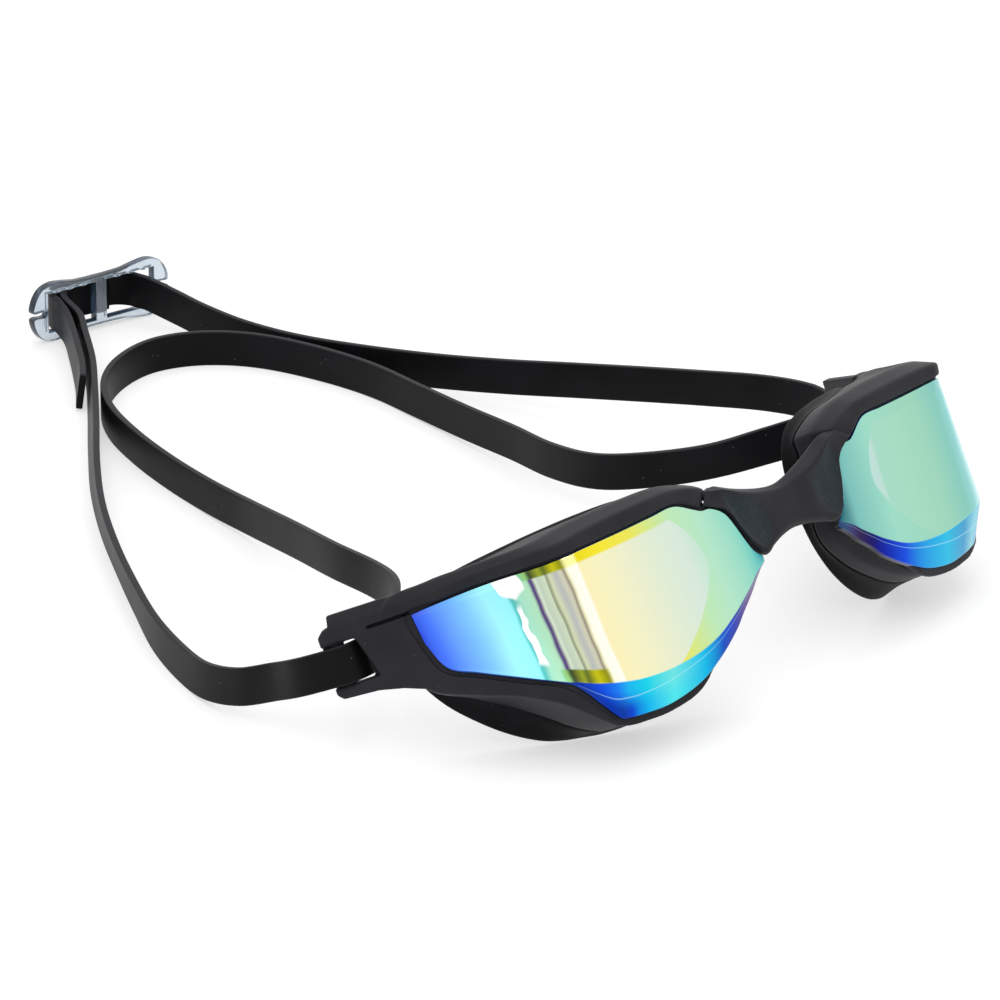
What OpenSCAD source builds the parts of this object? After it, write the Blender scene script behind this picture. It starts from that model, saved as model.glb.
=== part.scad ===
// Swim goggles: two mirrored lens units, a snap-in nose bridge, one long silicone
// strap laced through both temple slots, and a clear buckle at the back of the head.
// Every piece is drawn where it sits when the goggles rest on a table, lenses facing -Y.

/* [Pose] */
// how far the lens units lean back, degrees
pitch = 24; // [0:1:40]
// height of the lower inner lens corner above the table
eye_height = 27; // [20:0.5:40]

/* [Lens units] */
// thickness of the lens shell
lens_t = 1.8; // [1:0.1:3]
// thickness of the frame's temple plate
temple_t = 3.4; // [2.4:0.1:5]
// height of the strap slot in the temple
slot_h = 8.4; // [8:0.1:12]
// radius of the round post the strap wraps
post_r = 1.3; // [1:0.1:2]
// thickness of the soft gasket lip
lip_t = 1.8; // [1:0.1:3]

/* [Nose bridge] */
// radius of the snap pegs
peg_r = 0.8; // [0.5:0.05:1.2]
// how far a peg reaches into the frame
peg_len = 4; // [2:0.5:6]
// free space round a peg
peg_gap = 0.3; // [0.1:0.05:0.5]

/* [Strap] */
// width of the band
strap_w = 7; // [5:0.5:10]
// thickness of the band
strap_t = 1.3; // [1:0.1:2]
// free space between the band and a post
wrap_gap = 0.4; // [0.2:0.1:1]

/* [Buckle] */
// length of the buckle plate
buckle_l = 33; // [26:1:40]
// height of the buckle plate across its lobes
buckle_h = 12; // [10:0.5:16]
// thickness of the buckle plate
buckle_t = 2; // [1.5:0.1:3]
// width of the middle bar
bar_w = 2.8; // [2:0.1:4]
// turn of the buckle seen from above, degrees
buckle_turn = -14; // [-40:1:40]

/* [Colours] */
frame_colour = [0.16, 0.16, 0.18];
lens_colour = [0.35, 0.75, 0.72];
gasket_colour = [0.07, 0.07, 0.08];
strap_colour = [0.08, 0.08, 0.09];
buckle_colour = [0.66, 0.76, 0.85];

/* [Hidden] */
$fn = 32;
fine = 3;
wrap_r = post_r + wrap_gap + strap_t / 2;
// the temple runs back along a straight line turned out from the lens
side_x = 57;
side_b = 4.2;
side_turn = 27.2;
post_s = 46.2;
post_n = -1.7;
slot_mid = 9.1;
// depth of the recess where the band leaves past the end of the temple
recess_d = 1.2;
// pocket behind the slot's front edge: where it starts, and how deep its roof lies
pocket_s = 40.6;
pocket_n = 1.5;
// the band's way through a slot, from outside to inside: along the temple, out of it
slot_path = [
  [post_s, post_n + wrap_r], [post_s - 1.5, post_n + wrap_r - 0.6], [43.6, -1.1],
  [42.9, -2.4], [42.4, -3.8], [42.6, -5.4], [43.4, -7]
];
// sloping shoulder on the temple: where it ends, and how long it is
shoulder_s = 46.5;
shoulder_l = 14.5;
// parting slit between the brow bar and the lower arm
slit_s = [31.2, 39.6];
slit_h = 0.7;
slit_d = 1.2;
// snap pegs of the nose bridge: out, up, and where they start
peg_x = 19.8;
peg_up = 14.6;
peg_root = 0.9;
// middle of the band in the slot, above the lower inner lens corner
band_mid = 9;
buckle_at = [70.5, 223.5, 6];
// chamfer along the band's edges
strap_edge = 0.3;

// lens outline along the wrap: top edge, crease, lower edge, then the inward step
lens_rows = [
  [[12, 0, 0.6], [12.1, 0, -0.5], [12.8, 0.9, -1.6], [0, 1, 0]],
  [[14.2, 0.1, 2.8], [14.6, 0.2, -1.6], [14.8, 1, -3.2], [0, 1, 0]],
  [[17.2, 0.4, 9.9], [17.2, 0.4, -3.4], [17, 1.3, -5.2], [0, 1, 0]],
  [[20.5, 0.7, 12.4], [20.5, 0.7, -5.4], [20.2, 1.6, -7.6], [0, 1, 0]],
  [[23, 0.9, 12.7], [23.2, 1, -6.9], [23, 2, -9.9], [0, 1, 0]],
  [[28.8, 1.5, 15.4], [28.8, 1.5, -9.3], [28.8, 2.6, -13.2], [0, 1, 0]],
  [[35, 2.1, 15.4], [35, 2.1, -10.6], [35, 3.6, -15.8], [0, 1, 0]],
  [[43, 2.9, 15.3], [43, 2.9, -11], [43, 5, -17.1], [0, 1, 0]],
  [[50, 3.5, 15.3], [50, 3.5, -10.4], [49.5, 6.2, -16.8], [-0.1, 1, 0]],
  [[54.5, 4, 15.3], [54.5, 4, -9.5], [52.6, 7, -16.4], [-0.2, 1, 0]],
  [[56.8, 4.7, 15.2], [57, 4.9, -8.8], [54.5, 7.4, -15.8], [-0.5, 0.9, 0]],
  [[58.4, 6.6, 15.1], [58.8, 7, -7.9], [57, 8.3, -12.5], [-0.8, 0.7, 0]],
  [[59.6, 9, 15], [60.1, 9, -6.9], [59.2, 9.4, -9], [-0.9, 0.5, 0]],
  [[60.6, 11, 15], [61, 10.9, -6.2], [60.8, 10.7, -6.8], [-0.9, 0.5, 0]],
  [[64.2, 18, 15], [64, 17.8, -3], [63.8, 17.7, -3.5], [-0.9, 0.5, 0]],
  [[67.6, 24.7, 14.6], [67.5, 24.5, 0.4], [67.3, 24.4, -0.1], [-0.9, 0.5, 0]],
  [[69.8, 29, 14.2], [69.8, 29, 2.9], [69.6, 28.9, 2.4], [-0.9, 0.5, 0]],
  [[71.2, 31.8, 13.9], [70.9, 31.2, 8.3], [70.7, 31, 7.6], [-0.9, 0.5, 0]]
];

// frame ring round the eye: lens-side edge, ridge, top, back outside, back inside
ring_rows = [
  [[22.9, 0.8, 13.1], [19.6, 1.6, 15.8], [17.6, 4.5, 16.3], [17.4, 9.5, 15.8], [20, 9.5, 13]],
  [[28.8, 1.1, 15.8], [27.2, 1.8, 18], [26, 6, 19.4], [26, 11.5, 18.4], [28, 11.5, 15.7]],
  [[36, 1.8, 15.8], [35.5, 2.3, 18.4], [35, 7, 20.1], [35, 13.5, 19], [36, 13.5, 15.8]],
  [[45, 2.6, 15.7], [45, 3.1, 18.4], [44.5, 8, 20.2], [44, 17.5, 19.2], [44, 17.5, 15.7]],
  [[52, 3.3, 15.7], [52.5, 3.8, 18.2], [51.5, 9, 20], [50, 20.5, 19], [50, 20.5, 15.7]],
  [[56.6, 4, 15.7], [57.5, 4.5, 17.9], [56.5, 10, 19.5], [55, 22.5, 18.6], [54, 22.5, 15.6]],
  [[59.6, 7.4, 15.5], [60.5, 7.2, 17.6], [60.5, 13, 19.2], [58, 25, 18.2], [56.5, 25, 15.4]],
  [[65.3, 19, 15.4], [66.3, 18.8, 17], [64.8, 22, 19], [62, 28.5, 17.8], [60.5, 28.5, 15.2]],
  [[69.2, 26.6, 14.8], [70, 26.4, 16.2], [68.2, 28.5, 18.8], [65, 32, 17.3], [63.5, 32, 14.4]],
  [[71.9, 32.6, 14.2], [74, 36.6, 15.8], [71.8, 36.5, 17.6], [68.4, 34.6, 14.4], [66.5, 34.2, 12.5]],
  [[71.5, 31.9, 8.2], [73.4, 35.6, 8.4], [71.6, 36.3, 8.4], [69, 35.4, 8], [67, 34.6, 8]],
  [[70.4, 29.6, 2.2], [72.3, 33.3, 0.4], [70.6, 34.2, -0.3], [68, 34, -0.3], [66.2, 33, 2]],
  [[67.9, 24.6, -0.5], [68.8, 25.4, -3.4], [66.6, 27.5, -4.2], [64, 30.5, -4.8], [63, 29, -1]],
  [[64.3, 17.8, -4], [65.3, 19.4, -5.8], [63, 22, -6.8], [60, 27, -8.2], [59.4, 25.2, -4.6]],
  [[61.4, 10.9, -7.3], [62.3, 12.6, -9.4], [59.6, 16, -11], [56.6, 22.4, -12.4], [56.4, 20.8, -8.8]],
  [[57.6, 8.6, -12.9], [58.2, 9.6, -13.8], [56.4, 13, -14.8], [53.8, 20, -15.4], [54.2, 18.6, -11.6]],
  [[55, 7.8, -16.3], [54.8, 8.4, -17], [53.2, 11, -17.4], [50.6, 17.6, -17.7], [51.4, 16.4, -13.8]],
  [[53.4, 10, -16.2], [53, 10.3, -17], [51.6, 12, -17.5], [49.2, 17, -18], [50, 16, -14.2]],
  [[50.5, 9.2, -14.4], [49.8, 9.1, -16.6], [48.8, 11, -17.8], [46.5, 15.8, -18.2], [47.4, 15.4, -14.6]],
  [[43, 7.4, -14.4], [43, 7.8, -16.8], [42.6, 9, -17.6], [41.5, 13.8, -18], [42.4, 13.8, -14.6]],
  [[34.4, 5.8, -12.8], [34, 6.2, -15.2], [33.4, 7.4, -16], [33, 11.8, -16.5], [34, 11.8, -13]],
  [[26.6, 4.4, -9.2], [25.8, 4.6, -11.4], [25, 6, -12.4], [25, 10.4, -12.8], [27, 10.4, -9.8]],
  [[21, 3.6, -5], [19.8, 3.8, -6.8], [18.8, 5.5, -7.8], [18.8, 9.8, -8.2], [21.2, 9.8, -6]],
  [[17.6, 3, -1], [15.4, 3.2, -2], [14.6, 5, -2.2], [14.6, 9.3, -2.4], [17.6, 9.3, -1.4]],
  [[18.4, 3, 4.6], [16.6, 3.2, 5.2], [15.6, 5, 5.4], [15.7, 9.3, 5.4], [18.4, 9.3, 4.8]],
  [[20, 3, 9], [18.2, 3.2, 10], [17, 5, 10.4], [16.8, 9.3, 10.4], [19.6, 9.3, 9.2]],
  [[21, 3.1, 13], [19, 3.3, 13.8], [17.6, 5, 14], [17.2, 9.4, 13.6], [20, 9.4, 12.4]]
];

// face edge of the gasket at the same places round the eye
rim_rows = [
  [20, 13.5, 18.2], [27, 15.5, 19.2], [36, 19, 19.6], [45, 22.5, 19.4], [52, 26, 18.8],
  [56.6, 28.8, 18.4], [60.4, 31.4, 17.8], [64.2, 33.8, 16.9], [67.2, 36.2, 15.2], [69.8, 38, 11.5],
  [70.6, 38, 6.5], [69.8, 37.4, 1], [67, 35.6, -4.4], [63, 33, -9.4], [58.6, 30.6, -13.6],
  [54.4, 28, -17], [50.6, 26, -17.9], [48, 24.5, -18.6], [44.6, 22.8, -19.4], [38.5, 20, -20.4],
  [31, 17.5, -18.6], [24.5, 15.5, -14.5], [19.5, 14, -9.5], [16.6, 13.2, -4], [15.4, 13, 2.5],
  [15.3, 13, 9], [16.6, 13.2, 14.5]
];
rim_mid = [43, 0, 0];

// nose bridge from the middle outwards: front top, front low, under, back low, back top, top
bridge_rows = [
  [[0, 0.4, 10], [0, -0.2, 3.4], [0, 1.4, 2.2], [0, 3.8, 3.4], [0, 4.6, 9.6], [0, 2.8, 11.3]],
  [[4, 0.3, 10.5], [4, -0.4, 2.9], [4, 1.2, 1.8], [4, 3.7, 3], [4, 4.6, 10.2], [4, 2.8, 11.8]],
  [[8, 0, 11.4], [8, -0.7, 1.8], [8, 0.8, 0.9], [8, 3.4, 2.2], [8, 4.6, 11.3], [8, 2.8, 12.8]],
  [
    [11.2, -0.1, 12.4], [11, -0.9, 0.8], [11, 0.4, 0.2],
    [11.4, 2.8, 1.6], [11.6, 4.6, 12.2], [11.4, 2.8, 13.9]
  ],
  [
    [13.6, 0, 13.4], [13.2, -0.7, 2.6], [13.2, 0.9, 2.6],
    [13.8, 2.6, 4], [14, 4.4, 13], [13.8, 2.8, 14.8]
  ],
  [
    [16, 0.2, 14.4], [15.2, -0.4, 6.4], [15.2, 1.2, 6.4],
    [15.4, 2.6, 7], [15.6, 3.4, 13.6], [15.8, 2.6, 15.5]
  ],
  [
    [18.2, 0.6, 14.9], [17.2, -0.1, 10.7], [17.2, 1.4, 10.7],
    [16.8, 2.6, 11], [16.8, 2.9, 13.8], [17, 2.6, 15.6]
  ],
  [
    [19.1, 0.9, 15.2], [21.9, 0.3, 13.1], [21.6, 1.3, 13.1],
    [18.4, 2.7, 13.1], [17.6, 2.9, 13.9], [17.4, 2.6, 15.7]
  ]
];

// strap route: x, y, height of the band's middle, sideways lean of its top edge
near_run = [
  [-77.6, 61, 9.8, 0.4], [-76.5, 70, 6.4, 0.4], [-73.4, 80, 4.2, 0.4],
  [-68, 90, 3.5, 0.4], [-59.5, 103, 3.5, 0], [-48, 117, 3.5, -0.6], [-34, 133, 3.5, -0.8],
  [-19, 149, 3.6, -0.2], [-3, 164, 3.6, 0.8], [14, 178.4, 3.6, 1.2], [30, 191.8, 3.8, 1],
  [40.4, 200.8, 4.1, 0.8], [50.6, 210.8, 4.7, 0.3], [56.2, 216.6, 5.3, 0]
];
inner_run = [
  [-49, 55.5, 16.2, -0.5], [-41.5, 62, 15.4, -0.5], [-35, 71.5, 13.9, -0.4],
  [-28, 86, 12, -0.2], [-17, 104, 8.6, 0], [-5, 125, 4.9, 0], [1.5, 140, 3.8, 0], [8, 155, 3.5, 0],
  [15, 169, 3.5, 0], [23, 181.5, 3.5, 0], [32.5, 191, 3.5, 0], [44, 197, 3.5, 0],
  [56, 198.4, 3.5, 0], [65, 193.6, 3.5, 0], [70.5, 184, 3.5, 0], [72, 170, 3.5, 0],
  [70.5, 155, 3.6, 0], [66, 140, 3.8, 0], [60.5, 124, 4.4, 0], [54.5, 108, 5.6, 0],
  [48.5, 94, 6.8, 0], [45, 81, 8.6, 0], [46.5, 70, 10.8, -0.2], [53, 60, 12.8, -0.5]
];
far_run = [
  [82.6, 58.5, 16.3, -0.4], [84, 70, 15.1, -0.3], [84.6, 85, 12.7, 0], [84.6, 100, 10.3, 0],
  [83.8, 116, 7.9, 0], [82.2, 131, 5.9, 0], [79.6, 147, 4.5, 0], [76.8, 163, 3.8, 0],
  [75, 177, 3.5, 0], [75, 190, 3.6, 0], [76.2, 201, 4.2, 0], [77.8, 210, 5, 0]
];
// lacing through the buckle, measured along and behind its plate
lace_front = [[3.6, 2.1], [0, 2.1], [-4, 2.1], [-7, 1.3], [-9, -0.6], [-10.4, -3]];
lace_back = [
  [9.2, -4], [8.8, -1.6], [8.2, 1], [6.2, 3.2], [3, 3.9],
  [0, 4], [-5, 4], [-8.8, 3.2], [-10.8, 1.2], [-11.6, -1], [-12.2, -3.2]
];
tail_run = [
  [55, 218.8, 5.3, 0], [49.3, 212.7, 4.8, 0.3], [43.2, 206.6, 4.5, 0.5],
  [37.2, 200.8, 4.2, 0.8], [31, 195.5, 4, 1]
];

// outline of one end of the plate, from the middle bar round to the middle bar
plate_end = let (w = buckle_h / 2, l = buckle_l / 2) [
  [5, -w + 0.8], [9, -w + 0.2], [12, -w], [l - 2, -w + 0.9], [l - 0.4, -w + 3],
  [l, -0.6], [l - 3, -0.5], [l - 3, 0.5], [l, 0.6], [l - 0.4, w - 3], [l - 2, w - 0.9],
  [12, w], [9, w - 0.2], [5, w - 0.8]
];

// ---------------------------------------------------------------- helpers
// a place in a lens unit (out, back, up) put where it stands on the table
function stand(p) = [
  p[0],
  p[1] * cos(pitch) + p[2] * sin(pitch),
  eye_height - p[1] * sin(pitch) + p[2] * cos(pitch)
];

module unit(side) {
  mirror([side < 0 ? 1 : 0, 0, 0]) translate([0, 0, eye_height]) rotate([-pitch, 0, 0]) children();
}

// a place on the temple plate: along it, out of it, up
function on_side(s, n, h) = [
  side_x + s * sin(side_turn) + n * cos(side_turn),
  side_b + s * cos(side_turn) - n * sin(side_turn),
  h
];

// lays a drawing of (along, up, outwards) onto the temple plate
module on_temple() {
  translate([side_x, side_b, 0]) rotate([0, 0, 90 - side_turn]) rotate([90, 0, 0]) children();
}

// skin over rings of points; closed ends, or joined end to start
module skin(rings, loop = false) {
  n = len(rings);
  m = len(rings[0]);
  pts = [for (r = rings) for (p = r) p];
  last = loop ? n - 1 : n - 2;
  walls = [
    for (i = [0:last]) for (j = [0:m - 1])
      let (a = i * m + j, b = i * m + (j + 1) % m)
      let (c = ((i + 1) % n) * m + j, d = ((i + 1) % n) * m + (j + 1) % m)
      for (f = [[a, c, b], [b, c, d]]) f
  ];
  caps = loop ? [] : [[for (j = [0:m - 1]) j], [for (j = [m - 1:-1:0]) (n - 1) * m + j]];
  polyhedron(points = pts, faces = concat(walls, caps), convexity = 10);
}

// smooth curve through a row of points, spaced by their distances
function slope(p, i, loop) =
  let (n = len(p), a = loop ? (i + n - 1) % n : max(i - 1, 0), c = loop ? (i + 1) % n : min(i + 1, n - 1))
  let (d0 = max(norm(p[i] - p[a]), 0.001), d1 = max(norm(p[c] - p[i]), 0.001))
  a == i ? (p[c] - p[i]) / d1 : c == i ? (p[i] - p[a]) / d0 : (p[c] - p[a]) / (d0 + d1);
function between(p, q, mp, mq, t) =
  let (d = norm(q - p))
  (2 * t * t * t - 3 * t * t + 1) * p + (t * t * t - 2 * t * t + t) * d * mp
  + (3 * t * t - 2 * t * t * t) * q + (t * t * t - t * t) * d * mq;
function curve(p, k, loop = false) =
  let (n = len(p), last = loop ? n - 1 : n - 2)
  concat(
    [for (i = [0:last]) for (j = [0:k - 1])
      between(p[i], p[(i + 1) % n], slope(p, i, loop), slope(p, (i + 1) % n, loop), j / k)],
    loop ? [] : [p[n - 1]]
  );

// ---------------------------------------------------------------- lens units
function lens_ring(r) =
  let (t = lens_t * r[3] / norm(r[3]))
  [r[0], r[1], r[2], r[2] + t, r[1] + t, r[0] + t];

module lens(side) {
  color(lens_colour) unit(side) skin([for (r = lens_rows) lens_ring(r)]);
}

module temple_plate() {
  outline = [
    [31.9, 15.9], [47.6, 16], [48.9, 14.8], [48.9, 4], [47.9, 3], [41.2, 2.6], [36.8, 1.6],
    [31.4, -0.3], [29.4, 2.3], [31.6, 8.2], [32.3, 14]
  ];
  on_temple() translate([0, 0, -temple_t]) linear_extrude(temple_t) polygon(outline);
}

// sloping shoulder on top of the temple plate
module shoulder() {
  translate([side_x, side_b, 0]) rotate([0, 0, -side_turn]) translate([0, shoulder_s, 0])
    rotate([90, 0, 0]) linear_extrude(shoulder_l)
      polygon([[0, 15.7], [-0.1, 16.1], [-1.7, 18.1], [-temple_t, 18], [-temple_t, 15.7]]);
}

module slot_cut() {
  low = slot_mid - slot_h / 2;
  high = slot_mid + slot_h / 2;
  on_temple() translate([0, 0, -temple_t - 3]) linear_extrude(temple_t + 6)
    polygon([[40, low], [42.4, high], [47.4, high], [47.4, low]]);
}

// recess behind the slot, so that the band can leave past the end of the temple
module strap_recess() {
  on_temple() translate([47, slot_mid - slot_h / 2, -recess_d]) cube([3, slot_h, 3]);
}

// pocket on the inside, so that the band can turn behind the slot's front edge
module slot_pocket() {
  on_temple() translate([pocket_s, slot_mid - slot_h / 2, -temple_t - 3])
    cube([47.4 - pocket_s, slot_h, temple_t + 3 - pocket_n]);
}

module slit_cut() {
  on_temple() translate([0, 0, -slit_d]) linear_extrude(slit_d + 2)
    polygon([[slit_s[0], 13.9], [slit_s[1], 13.7], [slit_s[1], 13.7 + slit_h], [slit_s[0], 13.9 + slit_h]]);
}

module frame(side) {
  low = slot_mid - slot_h / 2;
  color(frame_colour) unit(side) difference() {
    union() {
      difference() {
        union() {
          skin([for (r = ring_rows) turned(r)], loop = true);
          temple_plate();
          shoulder();
        }
        slot_cut();
        strap_recess();
        slot_pocket();
        slit_cut();
      }
      translate(on_side(post_s, post_n, low - 1)) cylinder(r = post_r, h = slot_h + 2);
    }
    translate([peg_x, 0, peg_up]) rotate([-90, 0, 0])
      cylinder(r = peg_r + peg_gap, h = 2.6 + peg_len + 1);
  }
}

function lip_ring(i) =
  let (r = ring_rows[i], g = rim_rows[i], back = [0, 0.1, 0])
  let (in_dir = (rim_mid - [g[0], 0, g[2]]) / norm(rim_mid - [g[0], 0, g[2]]))
  let (o0 = r[3] + back, i0 = r[4] + back)
  let (o1 = 0.45 * o0 + 0.55 * g + 0.6 * in_dir - [0, 0.6, 0])
  [i0, 0.45 * i0 + 0.55 * (g + 2.6 * in_dir), g + lip_t * in_dir + [0, 0.2, 0], g, o1, o0];

module gasket(side) {
  color(gasket_colour) unit(side) skin([for (i = [0:len(ring_rows) - 1]) lip_ring(i)], loop = true);
}

// ---------------------------------------------------------------- nose bridge
function flip(p) = [for (i = [0:len(p) - 1]) i == 0 ? -p[0] : p[i]];

module nose_bridge() {
  right_half = [for (i = [len(bridge_rows) - 1:-1:1]) [for (p = bridge_rows[i]) flip(p)]];
  color(frame_colour) unit(1) {
    skin(concat(right_half, bridge_rows));
    for (s = [-1, 1]) translate([s * peg_x, peg_root, peg_up]) rotate([-90, 0, 0])
      cylinder(r = peg_r, h = 1.7 + peg_len);
  }
}

// ---------------------------------------------------------------- strap
// a place on the band's way through a slot
function in_slot(side, q) =
  let (c = on_side(q[0], q[1], band_mid), p = stand(c))
  [side * p[0], p[1], p[2], 1, 0];
function on_plate(q, z) = [
  buckle_at[0] + q[0] * cos(buckle_turn) - q[1] * sin(buckle_turn),
  buckle_at[1] + q[0] * sin(buckle_turn) + q[1] * cos(buckle_turn),
  z, 0, 0
];
function free(run) = [for (p = run) [p[0], p[1], p[2], 0, p[3]]];
function turned(v) = [for (i = [len(v) - 1:-1:0]) v[i]];

// each entry: x, y, z, share of the temple's lean, sideways lean
route = concat(
  [for (q = lace_front) on_plate(q, buckle_at[2])],
  free(turned(near_run)),
  [[-80.4, 52.5, 13.6, 0.8, 0.1]],
  [for (q = slot_path) in_slot(-1, q)],
  [[-66.5, 47.8, 16.5, 0.8, -0.2], [-58, 50.5, 16.5, 0.4, -0.4]],
  free(inner_run),
  [[62.5, 52.8, 14.9, 0.7, -0.4], [67.6, 49.2, 16, 0.8, -0.2]],
  [for (q = turned(slot_path)) in_slot(1, q)],
  [[79.8, 47.8, 16.1, 0.9, -0.3], [81.1, 52, 16, 0.7, -0.3]],
  free(far_run),
  [for (q = lace_back) on_plate(q, buckle_at[2])],
  free(tail_run)
);

function along(p, i) =
  let (a = p[max(i - 1, 0)], b = p[min(i + 1, len(p) - 1)])
  let (d = [b[0] - a[0], b[1] - a[1], b[2] - a[2]])
  d / norm(d);
function band_ring(p, i) =
  let (c = [p[i][0], p[i][1], p[i][2]], t = along(p, i))
  let (flat = [t[1], -t[0], 0] / norm([t[1], -t[0]]))
  let (up0 = (1 - p[i][3]) * [0, 0, 1] + p[i][3] * [0, sin(pitch), cos(pitch)] - flat * p[i][4] / strap_w)
  let (up1 = up0 - (up0 * t) * t, up = up1 / norm(up1), out = cross(up, t))
  let (w = strap_w / 2, k = strap_t / 2, e = strap_edge)
  let (right_edge = [[w - e, k], [w, k - e], [w, e - k], [w - e, -k]])
  let (left_edge = [[e - w, -k], [-w, e - k], [-w, k - e], [e - w, k]])
  [for (q = concat(right_edge, left_edge)) c + up * q[0] + out * q[1]];

module strap() {
  path = curve(route, fine);
  color(strap_colour) skin([for (i = [0:len(path) - 1]) band_ring(path, i)]);
}

// ---------------------------------------------------------------- buckle
module half_window() {
  low = -strap_w / 2 - 0.45;
  high = strap_w / 2 + 0.45;
  polygon([
    [bar_w / 2, low], [12.9, low], [12.9, high], [11.4, high], [11, high - 0.2], [10.2, high - 0.2],
    [9.8, high], [8.2, high], [7.8, high - 0.2], [7, high - 0.2], [6.6, high], [5, high],
    [4.6, high - 0.2], [3.8, high - 0.2], [3.4, high], [bar_w / 2, high]
  ]);
}

module strap_buckle() {
  color(buckle_colour) translate(buckle_at) rotate([0, 0, buckle_turn]) rotate([90, 0, 0])
    translate([0, 0, -buckle_t / 2]) linear_extrude(buckle_t) difference() {
      polygon(concat(plate_end, [for (p = turned(plate_end)) flip(p)]));
      half_window();
      mirror([1, 0]) half_window();
    }
}

frame(1);  // left_frame
frame(-1);  // right_frame
lens(1);  // left_lens
lens(-1);  // right_lens
gasket(1);  // left_gasket
gasket(-1);  // right_gasket
nose_bridge();
strap();
strap_buckle();
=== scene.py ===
"""Looks for the swim goggles: finished pieces, materials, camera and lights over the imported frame."""
import math

import bmesh
import bpy
import numpy as np
from mathutils import Matrix, Vector


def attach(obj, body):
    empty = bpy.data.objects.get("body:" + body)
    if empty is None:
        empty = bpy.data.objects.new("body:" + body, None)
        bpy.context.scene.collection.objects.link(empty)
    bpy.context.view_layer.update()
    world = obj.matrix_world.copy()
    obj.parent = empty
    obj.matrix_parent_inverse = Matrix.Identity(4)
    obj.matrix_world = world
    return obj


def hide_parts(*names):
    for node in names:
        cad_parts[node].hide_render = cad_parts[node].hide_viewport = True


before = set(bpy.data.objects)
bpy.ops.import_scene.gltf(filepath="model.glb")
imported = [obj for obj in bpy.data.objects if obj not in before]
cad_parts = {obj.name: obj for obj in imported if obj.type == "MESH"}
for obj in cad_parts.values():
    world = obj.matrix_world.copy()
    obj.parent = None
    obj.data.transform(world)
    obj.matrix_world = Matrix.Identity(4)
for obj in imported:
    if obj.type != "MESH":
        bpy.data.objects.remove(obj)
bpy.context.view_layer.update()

MM = 0.001
PITCH = math.radians(24)
EYE_HEIGHT = 27
LENS_T = 1.8
LIP_T = 1.8
TEMPLE_T = 3.4
SLOT_LOW, SLOT_HIGH = 5.2, 12.9
POST_S, POST_N, POST_R = 46.2, -1.7, 1.3
POCKET_S = 40.6
SLIT = (31.2, 39.6)
SIDE_X, SIDE_B, SIDE_TURN = 57, 4.2, math.radians(27.2)
BAND_MID = 9
BAND_W, BAND_T = 7, 1.3
WRAP_R = POST_R + 0.4 + BAND_T / 2
SLOT_PATH = [
    (POST_S, POST_N + WRAP_R), (POST_S - 1.5, POST_N + WRAP_R - 0.6), (43.6, -1.1), (42.9, -2.4),
    (42.4, -3.8), (42.6, -5.4), (43.4, -7),
]
RIM_MID = Vector((43, 0, 0))
PEG_X, PEG_UP, PEG_R = 19.8, 14.6, 0.8
BUCKLE_AT = Vector((70.5, 223.5, 6))
BUCKLE_TURN = math.radians(-14)
BUCKLE_T = 2

# rows of points that shape the pieces, in millimetres
LENS_ROWS = [
    [[12, 0, 0.6], [12.1, 0, -0.5], [12.8, 0.9, -1.6], [0, 1, 0]],
    [[14.2, 0.1, 2.8], [14.6, 0.2, -1.6], [14.8, 1, -3.2], [0, 1, 0]],
    [[17.2, 0.4, 9.9], [17.2, 0.4, -3.4], [17, 1.3, -5.2], [0, 1, 0]],
    [[20.5, 0.7, 12.4], [20.5, 0.7, -5.4], [20.2, 1.6, -7.6], [0, 1, 0]],
    [[23, 0.9, 12.7], [23.2, 1, -6.9], [23, 2, -9.9], [0, 1, 0]],
    [[28.8, 1.5, 15.4], [28.8, 1.5, -9.3], [28.8, 2.6, -13.2], [0, 1, 0]],
    [[35, 2.1, 15.4], [35, 2.1, -10.6], [35, 3.6, -15.8], [0, 1, 0]],
    [[43, 2.9, 15.3], [43, 2.9, -11], [43, 5, -17.1], [0, 1, 0]],
    [[50, 3.5, 15.3], [50, 3.5, -10.4], [49.5, 6.2, -16.8], [-0.1, 1, 0]],
    [[54.5, 4, 15.3], [54.5, 4, -9.5], [52.6, 7, -16.4], [-0.2, 1, 0]],
    [[56.8, 4.7, 15.2], [57, 4.9, -8.8], [54.5, 7.4, -15.8], [-0.5, 0.9, 0]],
    [[58.4, 6.6, 15.1], [58.8, 7, -7.9], [57, 8.3, -12.5], [-0.8, 0.7, 0]],
    [[59.6, 9, 15], [60.1, 9, -6.9], [59.2, 9.4, -9], [-0.9, 0.5, 0]],
    [[60.6, 11, 15], [61, 10.9, -6.2], [60.8, 10.7, -6.8], [-0.9, 0.5, 0]],
    [[64.2, 18, 15], [64, 17.8, -3], [63.8, 17.7, -3.5], [-0.9, 0.5, 0]],
    [[67.6, 24.7, 14.6], [67.5, 24.5, 0.4], [67.3, 24.4, -0.1], [-0.9, 0.5, 0]],
    [[69.8, 29, 14.2], [69.8, 29, 2.9], [69.6, 28.9, 2.4], [-0.9, 0.5, 0]],
    [[71.2, 31.8, 13.9], [70.9, 31.2, 8.3], [70.7, 31, 7.6], [-0.9, 0.5, 0]]
]
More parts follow.
